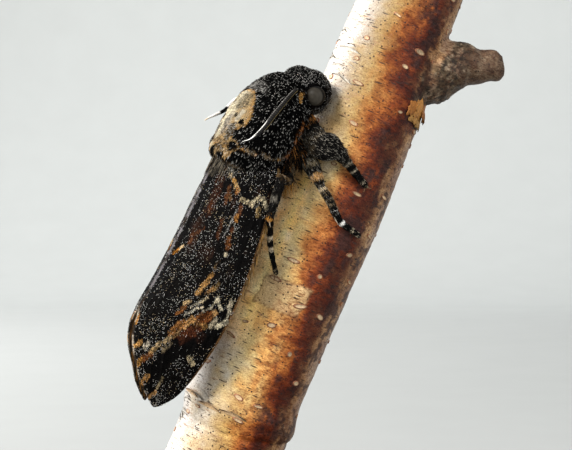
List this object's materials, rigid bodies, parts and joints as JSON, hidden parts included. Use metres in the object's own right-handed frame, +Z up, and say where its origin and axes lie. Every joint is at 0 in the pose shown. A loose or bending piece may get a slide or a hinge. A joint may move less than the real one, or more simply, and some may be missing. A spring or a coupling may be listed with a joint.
{
  "type": "death's-head hawkmoth specimen",
  "caption": "Life-size deaths head hawkmoth resting head up with folded wings on a cut birch branch, held upright by a plain display stand.",
  "frame": {"origin": "centre of the underside of the stand's base", "axes": "+Z up along the stand's rods; +X to the side the branch leans and its stub points to; the moth sits on the branch's other side and faces up, and -Y is the side it is seen from"},
  "size_m": [0.11, 0.08, 0.1296],
  "materials": {
    "stand_wood": "satin lacquer",
    "stand_brass": "brushed",
    "bark": "rough bark",
    "fur": "matt, under short fur",
    "abdomen": "matt, under short fur",
    "eye": "satin",
    "limb": "matt, under scales",
    "forewing": "matt, scaled membrane",
    "hindwing": "matt, scaled membrane"
  },
  "bodies": {
    "root": {"stand_base": "stand_wood", "stand_rod_left": "stand_brass", "stand_rod_right": "stand_brass", "branch": "bark", "thorax": "fur", "head": "fur", "abdomen": "abdomen", "proboscis": "limb", "eye_right": "eye", "palp_right": "fur", "antenna_right": "limb", "leg_fore_right": "limb", "leg_middle_right": "limb", "leg_hind_right": "limb", "forewing_right": "forewing", "hindwing_right": "hindwing", "eye_left": "eye", "palp_left": "fur", "antenna_left": "limb", "leg_fore_left": "limb", "leg_middle_left": "limb", "leg_hind_left": "limb", "forewing_left": "forewing", "hindwing_left": "hindwing"}
  },
  "joints": []
}
